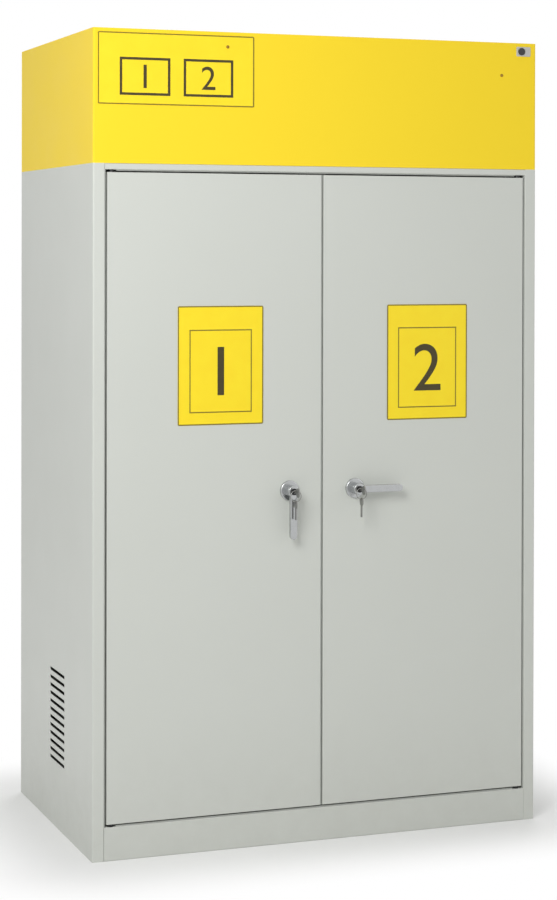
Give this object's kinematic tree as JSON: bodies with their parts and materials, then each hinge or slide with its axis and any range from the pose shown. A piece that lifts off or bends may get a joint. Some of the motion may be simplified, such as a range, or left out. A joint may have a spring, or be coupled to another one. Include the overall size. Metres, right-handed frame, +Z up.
{
  "type": "two-door ventilated chemical storage cabinet",
  "caption": "Tall sheet-steel storage cabinet with a yellow ventilated hood and double doors; lever handles throw latch rods up and down, and a fan draws air from separate compartments.",
  "frame": {"origin": "on the floor, under the middle of the steel body", "axes": "+X to the right seen from the front, +Y to the back, +Z up"},
  "size_m": [1.15, 0.7723, 1.99],
  "materials": {
    "grey_paint": "light grey textured powder coat",
    "yellow_paint": "yellow powder coat",
    "chrome": "polished chrome plate",
    "steel": "bright drawn steel",
    "galvanised": "galvanised sheet",
    "black_steel": "black phosphated steel",
    "sign_plate": "printed plate",
    "dark_plastic": "moulded black plastic",
    "grey_plastic": "moulded grey plastic",
    "carbon": "activated carbon granules",
    "motor_paint": "dark grey enamel",
    "aluminium": "bare pressed aluminium"
  },
  "bodies": {
    "cabinet": {"left_side_panel": "grey_paint", "right_side_panel": "grey_paint", "back_panel": "grey_paint", "plinth_rail": "grey_paint", "header_rail": "grey_paint", "floor_panel": "grey_paint", "ceiling_panel": "grey_paint", "plinth_cross_rail": "galvanised", "mullion": "grey_paint", "centre_partition": "grey_paint", "shelf_uprights": "galvanised", "shelf_clips": "steel", "left_shelves": "grey_paint", "right_shelves": "grey_paint", "spill_trays": "grey_paint", "hinge_pins": "black_steel", "strike_plates": "steel", "hood_shell": "yellow_paint", "hood_roof": "yellow_paint", "hood_back_cover": "grey_paint", "duct_collar": "galvanised", "filter_frames": "galvanised", "carbon_beds": "carbon", "fan_housing": "galvanised", "fan_motor": "motor_paint", "fan_cradle": "galvanised", "mains_inlet": "dark_plastic", "switch_bezel": "grey_plastic", "hood_screws": "steel", "hood_sign": "sign_plate"},
    "fan_rotor": {"fan_wheel": "aluminium"},
    "switch": {"switch_button": "dark_plastic"},
    "left_door": {"left_door_skin": "grey_paint", "left_door_liner": "grey_paint", "left_door_bushes": "dark_plastic", "left_door_sign": "sign_plate", "left_rose": "chrome", "left_gear_case": "galvanised", "left_rod_guides": "grey_plastic"},
    "left_handle": {"left_lever": "chrome", "left_pinion": "steel"},
    "left_lock": {"left_lock_plug": "chrome", "left_key": "chrome"},
    "left_spare": {"left_spare_key": "chrome"},
    "left_top_latch": {"left_upper_rod": "steel"},
    "left_bottom_latch": {"left_lower_rod": "steel"},
    "right_door": {"right_door_skin": "grey_paint", "right_door_liner": "grey_paint", "right_door_bushes": "dark_plastic", "right_door_sign": "sign_plate", "right_rose": "chrome", "right_gear_case": "galvanised", "right_rod_guides": "grey_plastic"},
    "right_handle": {"right_lever": "chrome", "right_pinion": "steel"},
    "right_lock": {"right_lock_plug": "chrome", "right_key": "chrome"},
    "right_spare": {"right_spare_key": "chrome"},
    "right_top_latch": {"right_upper_rod": "steel"},
    "right_bottom_latch": {"right_lower_rod": "steel"}
  },
  "joints": [
    {"name": "fan_spin", "type": "hinge", "parent": "cabinet", "child": "fan_rotor", "pos_m": [0, 0.135, 1.756], "axis": [1, 0, 0], "continuous": true},
    {"name": "switch_press", "type": "slide", "parent": "cabinet", "child": "switch", "axis": [0, 1, 0], "range_m": [0, 0.0025], "stiffness_N_per_m": 400},
    {"name": "left_door_swing", "type": "hinge", "parent": "cabinet", "child": "left_door", "pos_m": [-0.528, -0.342, 0.85], "axis": [0, 0, -1], "range_deg": [0, 110]},
    {"name": "left_handle_turn", "type": "hinge", "parent": "left_door", "child": "left_handle", "pos_m": [-0.085, -0.35, 0.852], "axis": [0, 1, 0], "range_deg": [0, 90]},
    {"name": "left_key_turn", "type": "hinge", "parent": "left_handle", "child": "left_lock", "pos_m": [-0.085, -0.35, 0.852], "axis": [0, 1, 0], "range_deg": [0, 90]},
    {"name": "left_spare_swing", "type": "hinge", "parent": "left_door", "child": "left_spare", "pos_m": [-0.085, -0.35, 0.852], "axis": [0, 1, 0], "range_deg": [-60, 60]},
    {"name": "left_top_latch_slide", "type": "slide", "parent": "left_door", "child": "left_top_latch", "axis": [0, 0, 1], "range_m": [0, 0.0166]},
    {"name": "left_bottom_latch_slide", "type": "slide", "parent": "left_door", "child": "left_bottom_latch", "axis": [0, 0, -1], "range_m": [0, 0.0166]},
    {"name": "right_door_swing", "type": "hinge", "parent": "cabinet", "child": "right_door", "pos_m": [0.528, -0.342, 0.85], "axis": [0, 0, 1], "range_deg": [0, 110]},
    {"name": "right_handle_turn", "type": "hinge", "parent": "right_door", "child": "right_handle", "pos_m": [0.085, -0.35, 0.852], "axis": [0, 1, 0], "range_deg": [0, 90]},
    {"name": "right_key_turn", "type": "hinge", "parent": "right_handle", "child": "right_lock", "pos_m": [0.085, -0.35, 0.852], "axis": [0, 1, 0], "range_deg": [0, 90]},
    {"name": "right_spare_swing", "type": "hinge", "parent": "right_door", "child": "right_spare", "pos_m": [0.085, -0.35, 0.852], "axis": [0, 1, 0], "range_deg": [-60, 60]},
    {"name": "right_top_latch_slide", "type": "slide", "parent": "right_door", "child": "right_top_latch", "axis": [0, 0, 1], "range_m": [0, 0.0166]},
    {"name": "right_bottom_latch_slide", "type": "slide", "parent": "right_door", "child": "right_bottom_latch", "axis": [0, 0, -1], "range_m": [0, 0.0166]}
  ],
  "couplings": [
    {"joint": "left_top_latch_slide", "follows": "left_handle_turn", "m_per_rad": 0.0105},
    {"joint": "left_bottom_latch_slide", "follows": "left_handle_turn", "m_per_rad": 0.0105},
    {"joint": "right_top_latch_slide", "follows": "right_handle_turn", "m_per_rad": 0.0105},
    {"joint": "right_bottom_latch_slide", "follows": "right_handle_turn", "m_per_rad": 0.0105}
  ]
}
